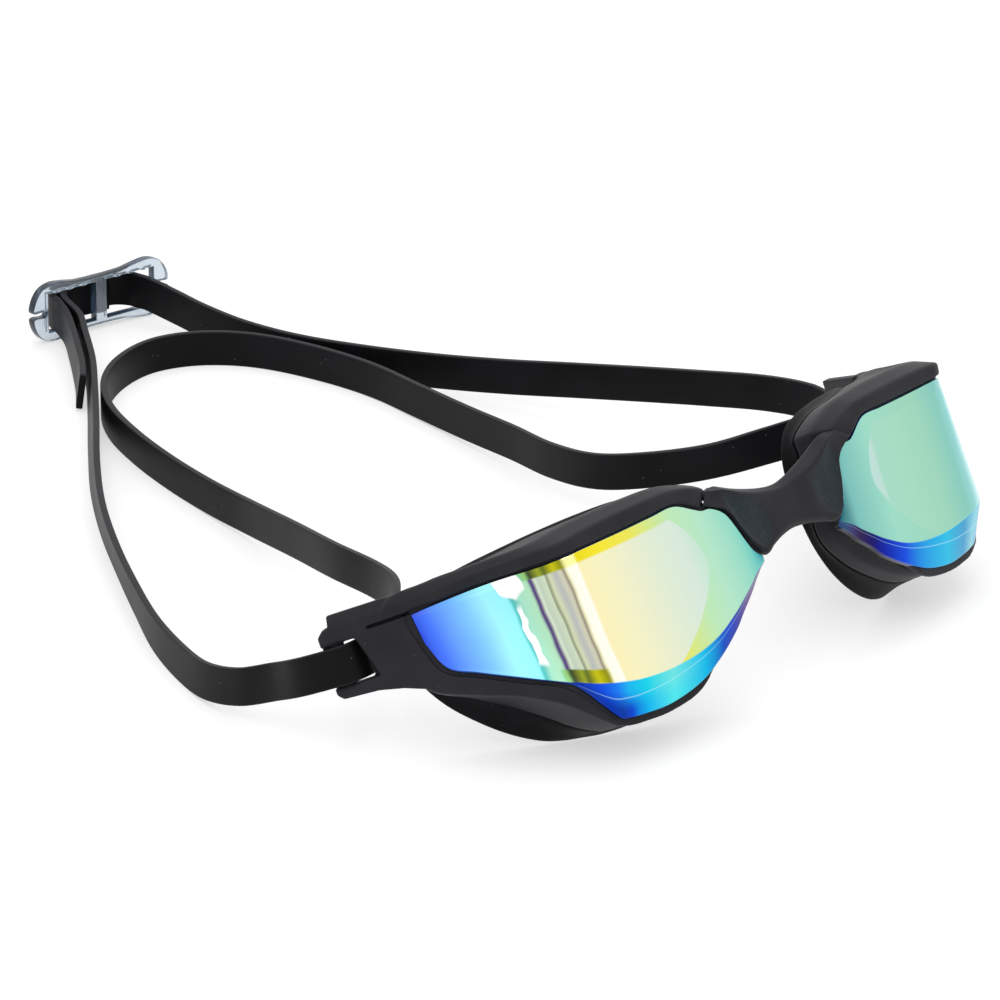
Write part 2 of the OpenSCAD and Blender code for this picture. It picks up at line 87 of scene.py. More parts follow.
RING_ROWS = [
    [[22.9, 0.8, 13.1], [19.6, 1.6, 15.8], [17.6, 4.5, 16.3], [17.4, 9.5, 15.8], [20, 9.5, 13]],
    [[28.8, 1.1, 15.8], [27.2, 1.8, 18], [26, 6, 19.4], [26, 11.5, 18.4], [28, 11.5, 15.7]],
    [[36, 1.8, 15.8], [35.5, 2.3, 18.4], [35, 7, 20.1], [35, 13.5, 19], [36, 13.5, 15.8]],
    [[45, 2.6, 15.7], [45, 3.1, 18.4], [44.5, 8, 20.2], [44, 17.5, 19.2], [44, 17.5, 15.7]],
    [[52, 3.3, 15.7], [52.5, 3.8, 18.2], [51.5, 9, 20], [50, 20.5, 19], [50, 20.5, 15.7]],
    [[56.6, 4, 15.7], [57.5, 4.5, 17.9], [56.5, 10, 19.5], [55, 22.5, 18.6], [54, 22.5, 15.6]],
    [[59.6, 7.4, 15.5], [60.5, 7.2, 17.6], [60.5, 13, 19.2], [58, 25, 18.2], [56.5, 25, 15.4]],
    [[65.3, 19, 15.4], [66.3, 18.8, 17], [64.8, 22, 19], [62, 28.5, 17.8], [60.5, 28.5, 15.2]],
    [[69.2, 26.6, 14.8], [70, 26.4, 16.2], [68.2, 28.5, 18.8], [65, 32, 17.3], [63.5, 32, 14.4]],
    [[71.9, 32.6, 14.2], [74, 36.6, 15.8], [71.8, 36.5, 17.6], [68.4, 34.6, 14.4], [66.5, 34.2, 12.5]],
    [[71.5, 31.9, 8.2], [73.4, 35.6, 8.4], [71.6, 36.3, 8.4], [69, 35.4, 8], [67, 34.6, 8]],
    [[70.4, 29.6, 2.2], [72.3, 33.3, 0.4], [70.6, 34.2, -0.3], [68, 34, -0.3], [66.2, 33, 2]],
    [[67.9, 24.6, -0.5], [68.8, 25.4, -3.4], [66.6, 27.5, -4.2], [64, 30.5, -4.8], [63, 29, -1]],
    [[64.3, 17.8, -4], [65.3, 19.4, -5.8], [63, 22, -6.8], [60, 27, -8.2], [59.4, 25.2, -4.6]],
    [[61.4, 10.9, -7.3], [62.3, 12.6, -9.4], [59.6, 16, -11], [56.6, 22.4, -12.4], [56.4, 20.8, -8.8]],
    [[57.6, 8.6, -12.9], [58.2, 9.6, -13.8], [56.4, 13, -14.8], [53.8, 20, -15.4], [54.2, 18.6, -11.6]],
    [[55, 7.8, -16.3], [54.8, 8.4, -17], [53.2, 11, -17.4], [50.6, 17.6, -17.7], [51.4, 16.4, -13.8]],
    [[53.4, 10, -16.2], [53, 10.3, -17], [51.6, 12, -17.5], [49.2, 17, -18], [50, 16, -14.2]],
    [[50.5, 9.2, -14.4], [49.8, 9.1, -16.6], [48.8, 11, -17.8], [46.5, 15.8, -18.2], [47.4, 15.4, -14.6]],
    [[43, 7.4, -14.4], [43, 7.8, -16.8], [42.6, 9, -17.6], [41.5, 13.8, -18], [42.4, 13.8, -14.6]],
    [[34.4, 5.8, -12.8], [34, 6.2, -15.2], [33.4, 7.4, -16], [33, 11.8, -16.5], [34, 11.8, -13]],
    [[26.6, 4.4, -9.2], [25.8, 4.6, -11.4], [25, 6, -12.4], [25, 10.4, -12.8], [27, 10.4, -9.8]],
    [[21, 3.6, -5], [19.8, 3.8, -6.8], [18.8, 5.5, -7.8], [18.8, 9.8, -8.2], [21.2, 9.8, -6]],
    [[17.6, 3, -1], [15.4, 3.2, -2], [14.6, 5, -2.2], [14.6, 9.3, -2.4], [17.6, 9.3, -1.4]],
    [[18.4, 3, 4.6], [16.6, 3.2, 5.2], [15.6, 5, 5.4], [15.7, 9.3, 5.4], [18.4, 9.3, 4.8]],
    [[20, 3, 9], [18.2, 3.2, 10], [17, 5, 10.4], [16.8, 9.3, 10.4], [19.6, 9.3, 9.2]],
    [[21, 3.1, 13], [19, 3.3, 13.8], [17.6, 5, 14], [17.2, 9.4, 13.6], [20, 9.4, 12.4]]
]
RIM_ROWS = [
    [20, 13.5, 18.2], [27, 15.5, 19.2], [36, 19, 19.6], [45, 22.5, 19.4], [52, 26, 18.8],
    [56.6, 28.8, 18.4], [60.4, 31.4, 17.8], [64.2, 33.8, 16.9], [67.2, 36.2, 15.2], [69.8, 38, 11.5],
    [70.6, 38, 6.5], [69.8, 37.4, 1], [67, 35.6, -4.4], [63, 33, -9.4], [58.6, 30.6, -13.6],
    [54.4, 28, -17], [50.6, 26, -17.9], [48, 24.5, -18.6], [44.6, 22.8, -19.4], [38.5, 20, -20.4],
    [31, 17.5, -18.6], [24.5, 15.5, -14.5], [19.5, 14, -9.5], [16.6, 13.2, -4], [15.4, 13, 2.5],
    [15.3, 13, 9], [16.6, 13.2, 14.5]
]
BRIDGE_ROWS = [
    [[0, 0.4, 10], [0, -0.2, 3.4], [0, 1.4, 2.2], [0, 3.8, 3.4], [0, 4.6, 9.6], [0, 2.8, 11.3]],
    [[4, 0.3, 10.5], [4, -0.4, 2.9], [4, 1.2, 1.8], [4, 3.7, 3], [4, 4.6, 10.2], [4, 2.8, 11.8]],
    [[8, 0, 11.4], [8, -0.7, 1.8], [8, 0.8, 0.9], [8, 3.4, 2.2], [8, 4.6, 11.3], [8, 2.8, 12.8]],
    [
      [11.2, -0.1, 12.4], [11, -0.9, 0.8], [11, 0.4, 0.2],
      [11.4, 2.8, 1.6], [11.6, 4.6, 12.2], [11.4, 2.8, 13.9]
    ],
    [
      [13.6, 0, 13.4], [13.2, -0.7, 2.6], [13.2, 0.9, 2.6],
      [13.8, 2.6, 4], [14, 4.4, 13], [13.8, 2.8, 14.8]
    ],
    [
      [16, 0.2, 14.4], [15.2, -0.4, 6.4], [15.2, 1.2, 6.4],
      [15.4, 2.6, 7], [15.6, 3.4, 13.6], [15.8, 2.6, 15.5]
    ],
    [
      [18.2, 0.6, 14.9], [17.2, -0.1, 10.7], [17.2, 1.4, 10.7],
      [16.8, 2.6, 11], [16.8, 2.9, 13.8], [17, 2.6, 15.6]
    ],
    [
      [19.1, 0.9, 15.2], [21.9, 0.3, 13.1], [21.6, 1.3, 13.1],
      [18.4, 2.7, 13.1], [17.6, 2.9, 13.9], [17.4, 2.6, 15.7]
    ]
]
NEAR_RUN = [
    [-77.6, 61, 9.8, 0.4], [-76.5, 70, 6.4, 0.4], [-73.4, 80, 4.2, 0.4],
    [-68, 90, 3.5, 0.4], [-59.5, 103, 3.5, 0], [-48, 117, 3.5, -0.6], [-34, 133, 3.5, -0.8],
    [-19, 149, 3.6, -0.2], [-3, 164, 3.6, 0.8], [14, 178.4, 3.6, 1.2], [30, 191.8, 3.8, 1],
    [40.4, 200.8, 4.1, 0.8], [50.6, 210.8, 4.7, 0.3], [56.2, 216.6, 5.3, 0]
]
INNER_RUN = [
    [-49, 55.5, 16.2, -0.5], [-41.5, 62, 15.4, -0.5], [-35, 71.5, 13.9, -0.4],
    [-28, 86, 12, -0.2], [-17, 104, 8.6, 0], [-5, 125, 4.9, 0], [1.5, 140, 3.8, 0], [8, 155, 3.5, 0],
    [15, 169, 3.5, 0], [23, 181.5, 3.5, 0], [32.5, 191, 3.5, 0], [44, 197, 3.5, 0],
    [56, 198.4, 3.5, 0], [65, 193.6, 3.5, 0], [70.5, 184, 3.5, 0], [72, 170, 3.5, 0],
    [70.5, 155, 3.6, 0], [66, 140, 3.8, 0], [60.5, 124, 4.4, 0], [54.5, 108, 5.6, 0],
    [48.5, 94, 6.8, 0], [45, 81, 8.6, 0], [46.5, 70, 10.8, -0.2], [53, 60, 12.8, -0.5]
]
FAR_RUN = [
    [82.6, 58.5, 16.3, -0.4], [84, 70, 15.1, -0.3], [84.6, 85, 12.7, 0], [84.6, 100, 10.3, 0],
    [83.8, 116, 7.9, 0], [82.2, 131, 5.9, 0], [79.6, 147, 4.5, 0], [76.8, 163, 3.8, 0],
    [75, 177, 3.5, 0], [75, 190, 3.6, 0], [76.2, 201, 4.2, 0], [77.8, 210, 5, 0]
]
LACE_BACK = [
    [9.2, -4], [8.8, -1.6], [8.2, 1], [6.2, 3.2], [3, 3.9],
    [0, 4], [-5, 4], [-8.8, 3.2], [-10.8, 1.2], [-11.6, -1], [-12.2, -3.2]
]
TAIL_RUN = [
    [55, 218.8, 5.3, 0], [49.3, 212.7, 4.8, 0.3], [43.2, 206.6, 4.5, 0.5],
    [37.2, 200.8, 4.2, 0.8], [31, 195.5, 4, 1]
]
LACE_FRONT = [[3.6, 2.1], [0, 2.1], [-4, 2.1], [-7, 1.3], [-9, -0.6], [-10.4, -3]]


# ---------------------------------------------------------------- shape helpers
def stand(p):
    """A place in a lens unit (out, back, up), put where it stands on the table, in metres."""
    x, b, h = p
    y = b * math.cos(PITCH) + h * math.sin(PITCH)
    z = EYE_HEIGHT - b * math.sin(PITCH) + h * math.cos(PITCH)
    return Vector((x, y, z)) * MM


def on_side(s, n, h):
    """A place on the temple plate: along it, out of it, up."""
    x = SIDE_X + s * math.sin(SIDE_TURN) + n * math.cos(SIDE_TURN)
    b = SIDE_B + s * math.cos(SIDE_TURN) - n * math.sin(SIDE_TURN)
    return Vector((x, b, h))


def curve(rows, steps, loop=False):
    """Rows of numbers joined by one smooth curve, with this many steps from each to the next."""
    p = [np.asarray(r, float).ravel() for r in rows]
    n = len(p)

    def slope(i):
        a = (i - 1) % n if loop else max(i - 1, 0)
        c = (i + 1) % n if loop else min(i + 1, n - 1)
        before = max(np.linalg.norm(p[i] - p[a]), 0.001)
        after = max(np.linalg.norm(p[c] - p[i]), 0.001)
        if a == i:
            return (p[c] - p[i]) / after
        if c == i:
            return (p[i] - p[a]) / before
        return (p[c] - p[a]) / (before + after)

    out = []
    for i in range(n if loop else n - 1):
        q = p[(i + 1) % n]
        gap = np.linalg.norm(q - p[i])
        start, end = slope(i) * gap, slope((i + 1) % n) * gap
        for k in range(steps):
            t = k / steps
            out.append(
                (2 * t**3 - 3 * t**2 + 1) * p[i] + (t**3 - 2 * t**2 + t) * start
                + (3 * t**2 - 2 * t**3) * q + (t**3 - t**2) * end
            )
    if not loop:
        out.append(p[-1])
    return [row.tolist() for row in out]


def round_ring(corners, radii, flats, turn_steps=4):
    """A closed ring with every corner rounded by its own radius: points, and how far round each one is."""
    n = len(corners)
    cuts = []
    for i, p in enumerate(corners):
        back, on = corners[i - 1] - p, corners[(i + 1) % n] - p
        r = min(radii[i], 0.42 * back.length, 0.42 * on.length)
        cuts.append((p + back.normalized() * r, p, p + on.normalized() * r))
    points, places = [], []
    for i in range(n):
        a, p, b = cuts[i]
        for k in range(turn_steps + 1):
            t = k / turn_steps
            points.append((1 - t) ** 2 * a + 2 * t * (1 - t) * p + t * t * b)
            places.append((i + 0.02 * (t - 0.5)) % n)
        c = cuts[(i + 1) % n][0]
        for k in range(flats[i]):
            t = [0.04, 0.96][k > 0] if flats[i] == 2 else 0.04 + 0.92 * k / max(flats[i] - 1, 1)
            points.append(b.lerp(c, t))
            places.append(i + 0.01 + 0.98 * t)
    return points, places


def skin(rings, loop=False):
    """Faces over rings of equally many points."""
    n, m = len(rings), len(rings[0])
    faces = []
    for i in range(n if loop else n - 1):
        for j in range(m):
            a, b = i * m + j, i * m + (j + 1) % m
            c, d = (i + 1) % n * m + j, (i + 1) % n * m + (j + 1) % m
            faces.append((a, b, d, c))
    if not loop:
        faces += [tuple(range(m))[::-1], tuple((n - 1) * m + j for j in range(m))]
    return [p for r in rings for p in r], faces


def new_object(name, points, faces, flip_x=False, values=None):
    """A smooth object from points in metres, mirrored if asked, with named numbers on its points."""
    sign = -1 if flip_x else 1
    mesh = bpy.data.meshes.new(name)
    mesh.from_pydata([(sign * p[0], p[1], p[2]) for p in points], [], faces)
    for key, numbers in (values or {}).items():
        layer = mesh.attributes.new(key, "FLOAT", "POINT")
        layer.data.foreach_set("value", numbers)
    tidy = bmesh.new()
    tidy.from_mesh(mesh)
    bmesh.ops.recalc_face_normals(tidy, faces=tidy.faces)
    tidy.to_mesh(mesh)
    tidy.free()
    for face in mesh.polygons:
        face.use_smooth = len(face.vertices) < 9
    obj = bpy.data.objects.new(name, mesh)
    bpy.context.scene.collection.objects.link(obj)
    return obj


def apply_modifiers(obj):
    bpy.context.view_layer.update()
    seen = obj.evaluated_get(bpy.context.evaluated_depsgraph_get())
    mesh = bpy.data.meshes.new_from_object(seen)
    obj.modifiers.clear()
    obj.data = mesh
    return obj


def plate(outlines, low, high, rounding):
    """A flat plate with rounded edges: points and faces. The first outline is its rim, the rest holes."""
    shape = bpy.data.curves.new("outline", "CURVE")
    shape.dimensions = "2D"
    shape.fill_mode = "BOTH"
    shape.extrude = (high - low) / 2 - rounding
    shape.bevel_depth = rounding
    shape.bevel_resolution = 3
    shape.offset = -rounding
    for outline in outlines:
        spline = shape.splines.new("POLY")
        spline.points.add(len(outline) - 1)
        for point, (x, y) in zip(spline.points, outline):
            point.co = (x, y, 0, 1)
        spline.use_cyclic_u = True
    holder = bpy.data.objects.new("outline", shape)
    bpy.context.scene.collection.objects.link(holder)
    bpy.context.view_layer.update()
    mesh = bpy.data.meshes.new_from_object(
        holder.evaluated_get(bpy.context.evaluated_depsgraph_get())
    )
    bpy.data.objects.remove(holder)
    work = bmesh.new()
    work.from_mesh(mesh)
    bmesh.ops.remove_doubles(work, verts=work.verts, dist=0.001)
    points = [v.co + Vector((0, 0, (low + high) / 2)) for v in work.verts]
    work.verts.index_update()
    faces = [tuple(v.index for v in f.verts) for f in work.faces]
    work.free()
    return points, faces


def prism(outline, place):
    """A straight prism: place(x, y, end) puts each outline point at end 0 and end 1."""
    n = len(outline)
    points = [place(x, y, end) for end in (0, 1) for x, y in outline]
    faces = [tuple(range(n))[::-1], tuple(range(n, 2 * n))]
    faces += [(i, (i + 1) % n, n + (i + 1) % n, n + i) for i in range(n)]
    return points, faces


def gather(parts):
    """Several lots of points and faces as one."""
    points, faces = [], []
    for more, sides in parts:
        faces += [tuple(i + len(points) for i in f) for f in sides]
        points += list(more)
    return points, faces


# ---------------------------------------------------------------- material helpers
def linear(colour):
    """A colour in 0-255 steps, as the shader takes it."""
    parts = [c / 255 for c in colour]
    return [c / 12.92 if c <= 0.04045 else ((c + 0.055) / 1.055) ** 2.4 for c in parts] + [1]


class Paint:
    """One material and the nodes that colour it."""

    def __init__(self, name):
        self.material = bpy.data.materials.new(name)
        self.material.use_nodes = True
        self.tree = self.material.node_tree
        self.shader = next(n for n in self.tree.nodes if n.type == "BSDF_PRINCIPLED")

    def put(self, socket, value):
        if isinstance(value, bpy.types.NodeSocket):
            self.tree.links.new(value, socket)
        else:
            socket.default_value = value

    def add(self, kind, inputs=None, **settings):
        made = self.tree.nodes.new(kind)
        for key, value in settings.items():
            setattr(made, key, value)
        for key, value in (inputs or {}).items():
            self.put(made.inputs[key], value)
        return made

    def finish(self, **inputs):
        for key, value in inputs.items():
            self.put(self.shader.inputs[key.replace("_", " ")], value)
        return self.material

    def attribute(self, name):
        return self.add("ShaderNodeAttribute", attribute_name=name).outputs["Fac"]

    def place(self):
        return self.add("ShaderNodeTexCoord").outputs["Object"]

    def math(self, operation, a, b=0.0):
        return self.add("ShaderNodeMath", {0: a, 1: b}, operation=operation).outputs[0]

    def step(self, x, low, high):
        """0 below low, 1 above high, smooth between; low may be the larger."""
        made = self.add("ShaderNodeMapRange", {0: x, 1: low, 2: high}, interpolation_type="SMOOTHSTEP")
        return made.outputs[0]

    def ramp(self, fac, stops):
        made = self.add("ShaderNodeValToRGB", {"Fac": fac})
        elements = made.color_ramp.elements
        while len(elements) > 1:
            elements.remove(elements[-1])
        for k, (at, colour) in enumerate(stops):
            element = elements[0] if k == 0 else elements.new(at)
            element.position = at
            element.color = linear(colour)
        return made.outputs["Color"]

    def mix(self, fac, a, b):
        made = self.add("ShaderNodeMix", {0: fac, 6: a, 7: b}, data_type="RGBA")
        return made.outputs[2]

    def noise(self, scale, detail=2.0, roughness=0.5):
        inputs = {"Vector": self.place(), "Scale": scale, "Detail": detail, "Roughness": roughness}
        made = self.add("ShaderNodeTexNoise", inputs)
        return made.outputs["Fac"]

    def specks(self, scale, size, share):
        """Scattered dots: 1 on a dot, 0 between."""
        cells = self.add("ShaderNodeTexVoronoi", {"Vector": self.place(), "Scale": scale})
        dot = self.step(cells.outputs["Distance"], size, size * 0.5)
        chosen = self.add("ShaderNodeSeparateColor", {"Color": cells.outputs["Color"]}).outputs[0]
        return self.math("MULTIPLY", dot, self.step(chosen, 1 - share, 1 - share + 0.01))

    def bump(self, height, strength, distance):
        made = self.add("ShaderNodeBump", {"Height": height, "Strength": strength, "Distance": distance})
        return made.outputs["Normal"]


# ---------------------------------------------------------------- materials
def moulded_plastic(name, facet=False):
    """Matte charcoal plastic with a fine grain; the bridge's front facets are bluish with a fine mottle."""
    paint = Paint(name)
    broad = paint.noise(90, 3)
    grain = paint.noise(5200, 2)
    base = paint.mix(paint.step(broad, 0.3, 0.75), linear((30, 30, 34)), linear((38, 38, 42)))
    base = paint.mix(paint.specks(900, 0.12, 0.12), base, linear((66, 68, 74)))
    rough = paint.add("ShaderNodeMapRange", {0: broad, 3: 0.42, 4: 0.54}).outputs[0]
    if facet:
        front = paint.attribute("facet")
        mottle = paint.step(paint.noise(2600, 2), 0.45, 0.62)
        shade = paint.mix(mottle, linear((30, 38, 43)), linear((38, 47, 52)))
        base = paint.mix(front, base, shade)
    normal = paint.bump(grain, 0.35, 0.00004)
    paint.put(paint.shader.inputs["Specular IOR Level"], 0.12)
    return paint.finish(Base_Color=base, Roughness=rough, Normal=normal)


def gasket_silicone():
    paint = Paint("gasket_silicone")
    broad = paint.noise(120, 3)
    base = paint.mix(paint.step(broad, 0.35, 0.7), linear((12, 12, 14)), linear((19, 19, 22)))
    base = paint.mix(paint.specks(1100, 0.14, 0.1), base, linear((66, 68, 72)))
    normal = paint.bump(paint.noise(3000, 3), 0.3, 0.00005)
    paint.put(paint.shader.inputs["Specular IOR Level"], 0.06)
    return paint.finish(Base_Color=base, Roughness=0.55, Normal=normal)


def strap_silicone():
    """Satin black silicone: edges paler with a painted sheen, a few dust specks, lengthwise moulding drift.
    """
    paint = Paint("strap_silicone")
    broad = paint.noise(60, 3)
    base = paint.mix(paint.step(broad, 0.35, 0.7), linear((12, 12, 14)), linear((19, 19, 22)))
    # painted sheen: the strap's rounded edges are lightened toward grey, as if catching the light
    edge = paint.step(paint.attribute("edge"), 0.9, 1.0)
    base = paint.mix(paint.math("MULTIPLY", edge, 0.55), base, linear((48, 48, 52)))
    base = paint.mix(paint.specks(700, 0.1, 0.12), base, linear((88, 90, 92)))
    rough = paint.add("ShaderNodeMapRange", {0: broad, 3: 0.36, 4: 0.5}).outputs[0]
    normal = paint.bump(paint.noise(2400, 3), 0.22, 0.00005)
    paint.put(paint.shader.inputs["Specular IOR Level"], 0.08)
    return paint.finish(Base_Color=base, Roughness=rough, Normal=normal)


def clear_plastic():
    """Clear bluish plastic, with painted shade darkening its rounded edges where they bend the light."""
    paint = Paint("clear_plastic")
    rim = paint.attribute("rim")
    tint = paint.mix(paint.noise(220, 2), linear((214, 228, 240)), linear((228, 238, 246)))
    # painted shade: the rounded edges are mixed toward dark blue-grey
    base = paint.mix(rim, tint, linear((52, 68, 86)))
    normal = paint.bump(paint.noise(500, 2), 0.15, 0.0001)
    paint.put(paint.shader.inputs["Transmission Weight"], 0.85)
    paint.put(paint.shader.inputs["IOR"], 1.45)
    return paint.finish(Base_Color=base, Roughness=0.12, Normal=normal)


# Near lens colours along the wrap: the coat's own colour drift together with painted reflections of its
# surroundings, inside and outside the painted softbox reflection.
NEAR_COAT_AND_REFLECTION_INSIDE = [
    (0.0, (70, 180, 190)), (0.035, (140, 222, 216)), (0.1, (147, 222, 206)), (0.19, (184, 228, 204)),
    (0.27, (215, 232, 219)), (0.35, (222, 235, 212)), (0.44, (237, 238, 203)), (0.52, (247, 242, 194)),
    (0.572, (250, 240, 186)), (0.578, (255, 255, 242)), (0.6, (255, 255, 236)), (0.604, (240, 235, 186)),
    (0.61, (128, 118, 112)), (0.615, (214, 212, 184)), (0.63, (182, 186, 186)), (0.646, (214, 222, 180)),
    (0.651, (112, 116, 98)), (0.656, (206, 220, 190)), (0.672, (192, 208, 188)), (0.68, (216, 230, 206)),
    (0.686, (88, 70, 120)), (0.692, (96, 80, 132)), (0.697, (180, 228, 190)), (0.728, (168, 226, 200)),
    (0.745, (70, 186, 182)), (0.754, (150, 240, 245)), (0.8, (160, 238, 252)), (0.85, (130, 202, 252)),
    (0.9, (106, 164, 250)), (0.945, (72, 118, 248)), (1.0, (46, 76, 212)),
]
NEAR_COAT_AND_REFLECTION_OUTSIDE = [
    (0.0, (60, 160, 170)), (0.035, (118, 206, 194)), (0.1, (150, 218, 198)), (0.19, (180, 229, 200)),
    (0.27, (190, 232, 184)), (0.34, (212, 232, 140)), (0.4, (236, 230, 90)), (0.5, (246, 230, 50)),
    (0.572, (238, 220, 30)), (0.578, (255, 255, 170)), (0.6, (253, 250, 168)), (0.61, (140, 140, 20)),
    (0.63, (200, 196, 22)), (0.652, (96, 110, 40)), (0.664, (150, 164, 44)), (0.686, (40, 52, 40)),
    (0.695, (150, 200, 120)), (0.72, (120, 220, 190)), (0.75, (170, 248, 248)), (0.8, (164, 246, 251)),
    (0.88, (112, 182, 251)), (0.945, (86, 122, 246)), (1.0, (44, 76, 192)),
]
# Far lens: the same coat with its own painted reflections, mint over most of the front.
FAR_COAT_AND_REFLECTION_INSIDE = [
    (0.0, (90, 180, 196)), (0.04, (50, 170, 184)), (0.1, (154, 217, 210)), (0.2, (188, 222, 216)),
    (0.245, (190, 222, 212)), (0.258, (166, 218, 196)), (0.35, (164, 218, 191)), (0.46, (156, 212, 186)),
    (0.54, (134, 202, 188)), (0.57, (146, 212, 208)), (0.6, (190, 230, 232)), (0.64, (130, 200, 196)),
    (0.69, (120, 206, 196)), (0.75, (130, 226, 226)), (0.8, (150, 232, 250)), (0.88, (112, 182, 251)),
    (0.945, (76, 120, 246)), (1.0, (46, 76, 200)),
]
FAR_COAT_AND_REFLECTION_OUTSIDE = [
    (0.0, (40, 110, 120)), (0.1, (120, 190, 184)), (0.25, (156, 219, 197)), (0.45, (156, 212, 184)),
    (0.55, (128, 198, 190)), (0.6, (196, 232, 234)), (0.68, (120, 200, 196)), (0.8, (150, 232, 250)),
    (0.945, (76, 120, 246)), (1.0, (46, 76, 200)),
]
# Lower facet colours: coat colour together with painted reflections.
NEAR_LOWER_COAT_AND_REFLECTION_TOP = [
    (0.0, (120, 176, 190)), (0.05, (120, 130, 150)), (0.12, (120, 104, 140)), (0.18, (70, 70, 150)),
    (0.22, (20, 60, 190)), (0.26, (6, 85, 192)), (0.33, (8, 178, 222)), (0.43, (103, 218, 215)),
    (0.51, (10, 202, 222)), (0.57, (20, 174, 230)), (0.6, (26, 118, 232)), (0.63, (18, 76, 218)),
    (0.67, (12, 52, 170)), (0.72, (16, 40, 120)), (1.0, (40, 70, 130)),
]
NEAR_LOWER_COAT_AND_REFLECTION_BOTTOM = [
    (0.0, (110, 150, 170)), (0.05, (110, 96, 130)), (0.14, (100, 70, 130)), (0.2, (50, 60, 160)),
    (0.26, (6, 71, 180)), (0.33, (6, 172, 218)), (0.43, (75, 220, 225)), (0.51, (8, 172, 228)),
    (0.57, (6, 66, 202)), (0.6, (10, 56, 156)), (0.63, (4, 52, 170)), (0.68, (30, 60, 150)),
    (0.72, (16, 40, 110)), (1.0, (40, 60, 120)),
]
FAR_LOWER_COAT_AND_REFLECTION = [
    (0.0, (34, 80, 124)), (0.05, (60, 56, 104)), (0.1, (50, 34, 76)), (0.15, (24, 16, 100)),
    (0.19, (2, 30, 158)), (0.26, (0, 68, 210)), (0.33, (4, 144, 216)), (0.43, (2, 180, 218)),
    (0.51, (48, 148, 196)), (0.57, (120, 200, 214)), (0.66, (24, 110, 200)), (1.0, (30, 60, 150)),
]


def mirror_coat_and_reflection(name, inside, outside, lower_top, lower_bottom, near_reflection):
    """Mirror film: the coat's colours drift along the wrap, mixed with painted reflections, and a painted
    softbox reflection makes a paler field inside a curved border.
    """
    paint = Paint(name)
    station = paint.attribute("station")
    rise = paint.add("ShaderNodeClamp", {0: station}).outputs[0]
    ripple = paint.math("MULTIPLY", paint.math("SUBTRACT", paint.noise(160, 1), 0.5), 0.012)
    wrap = paint.math("ADD", paint.attribute("wrap"), ripple)
    wrap = paint.math("ADD", wrap, paint.math("MULTIPLY", paint.math("SUBTRACT", rise, 0.5), 0.022))
    # painted reflection of a softbox: a paler field inside a curved border, kept off the low edge and the
    # bend foot
    bow = paint.math("POWER", paint.math("ABSOLUTE", paint.math("SUBTRACT", rise, 0.42)), 2.0)
    border = paint.math("ADD", paint.math("MULTIPLY", bow, 0.55), 0.215)
    softbox_reflection = paint.step(paint.math("SUBTRACT", wrap, border), -0.004, 0.004)
    softbox_reflection = paint.math("MULTIPLY", softbox_reflection, paint.step(rise, 0.065, 0.085))
    bend = paint.math("MULTIPLY", paint.step(wrap, 0.6, 0.606), paint.step(wrap, 0.71, 0.7))
    foot = paint.math("MULTIPLY", bend, paint.step(rise, 0.88, 0.9))
    softbox_reflection = paint.math("MULTIPLY", softbox_reflection, paint.math("SUBTRACT", 1.0, foot))
    front = paint.mix(softbox_reflection, paint.ramp(wrap, outside), paint.ramp(wrap, inside))
    # painted highlights: on the near lens the glare patch and streak are mixed toward white
    if near_reflection:
        front = paint.mix(glare(paint, wrap, rise), front, linear((255, 255, 255)))
    depth = paint.math("SUBTRACT", station, 1.0)
    top_colour, bottom_colour = paint.ramp(wrap, lower_top), paint.ramp(wrap, lower_bottom)
    lower = paint.mix(paint.step(depth, 0.15, 0.85), top_colour, bottom_colour)
    line_at = paint.math("ADD", 0.2, paint.math("MULTIPLY", paint.step(wrap, 0.3, 0.6), 0.25))
    line = paint.step(paint.math("ABSOLUTE", paint.math("SUBTRACT", depth, line_at)), 0.03, 0.008)
    lower = paint.mix(paint.math("MULTIPLY", line, 0.45), lower, linear((170, 226, 240)))
    colour = paint.mix(paint.step(station, 0.995, 1.005), front, lower)
    back = paint.math("MULTIPLY", paint.step(station, 2.2, 2.4), paint.step(station, 5.9, 5.7))
    colour = paint.mix(back, colour, linear((26, 34, 40)))
    paint.put(paint.shader.inputs["Metallic"], 0.92)
    rough = paint.add("ShaderNodeMapRange", {0: paint.noise(400, 2), 3: 0.05, 4: 0.09}).outputs[0]
    return paint.finish(Base_Color=colour, Roughness=rough)


def glare(paint, wrap, rise):
    """Two painted highlights on the film by the temple bend: a ragged glare patch at the top and a streak
    below it.
    """
    jitter = paint.math("MULTIPLY", paint.math("SUBTRACT", paint.noise(320, 1), 0.5), 0.022)
    moved = paint.math("ADD", wrap, jitter)
    off = paint.math("ABSOLUTE", paint.math("SUBTRACT", moved, 0.738))
    width = paint.math("ADD", 0.001, paint.math("MULTIPLY", rise, 0.012))
    streak = paint.step(paint.math("SUBTRACT", off, width), 0.002, -0.001)
    along = paint.math("MULTIPLY", paint.step(rise, 0.25, 0.34), paint.step(rise, 0.88, 0.82))
    left = paint.step(moved, 0.708, 0.712)
    right = paint.step(moved, 0.77, 0.766)
    slope = paint.math("ADD", rise, paint.math("MULTIPLY", off, 3))
    patch = paint.math("MULTIPLY", paint.math("MULTIPLY", left, right), paint.step(slope, 0.24, 0.2))
    return paint.math("MAXIMUM", paint.math("MULTIPLY", streak, along), patch)


